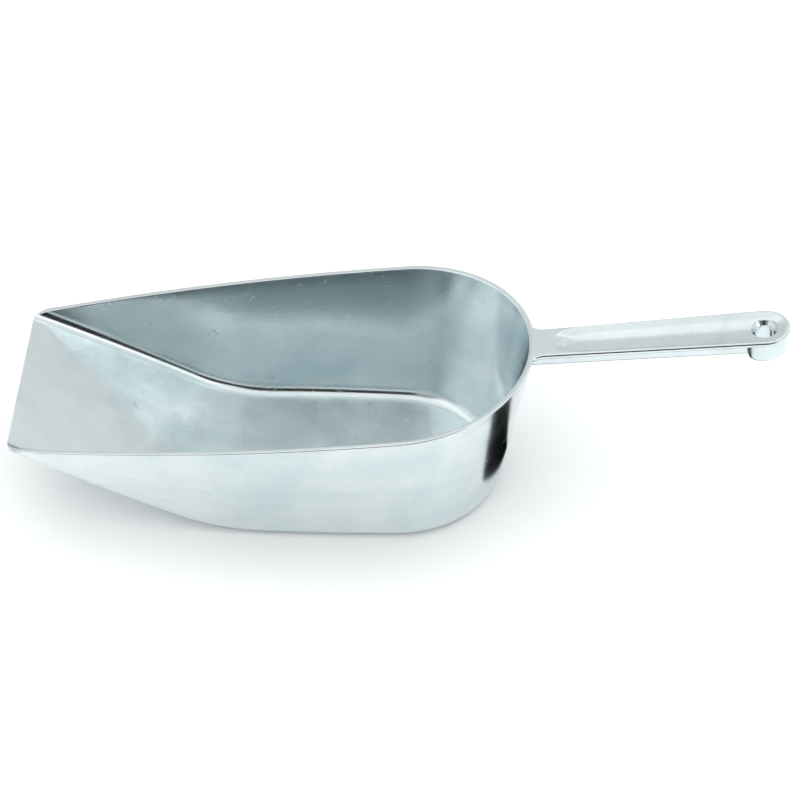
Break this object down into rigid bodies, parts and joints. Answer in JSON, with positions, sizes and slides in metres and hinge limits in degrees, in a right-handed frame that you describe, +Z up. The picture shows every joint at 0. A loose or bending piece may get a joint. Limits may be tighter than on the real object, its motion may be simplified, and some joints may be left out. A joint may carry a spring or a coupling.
{
  "type": "feed scoop",
  "caption": "Cast aluminium feed scoop: open round-backed bowl with ramped lip, flat base, and T-section handle with hanging hole.",
  "frame": {"origin": "where the upright axis of the bowl's round rear end meets the plane of its flat base", "axes": "+X along the scoop towards the handle's tip, +Z up, normal to the flat base"},
  "size_m": [0.3747, 0.1304, 0.1001],
  "materials": {
    "casting": "polished cast aluminium"
  },
  "bodies": {
    "root": {"bowl": "casting", "handle": "casting"}
  },
  "joints": []
}
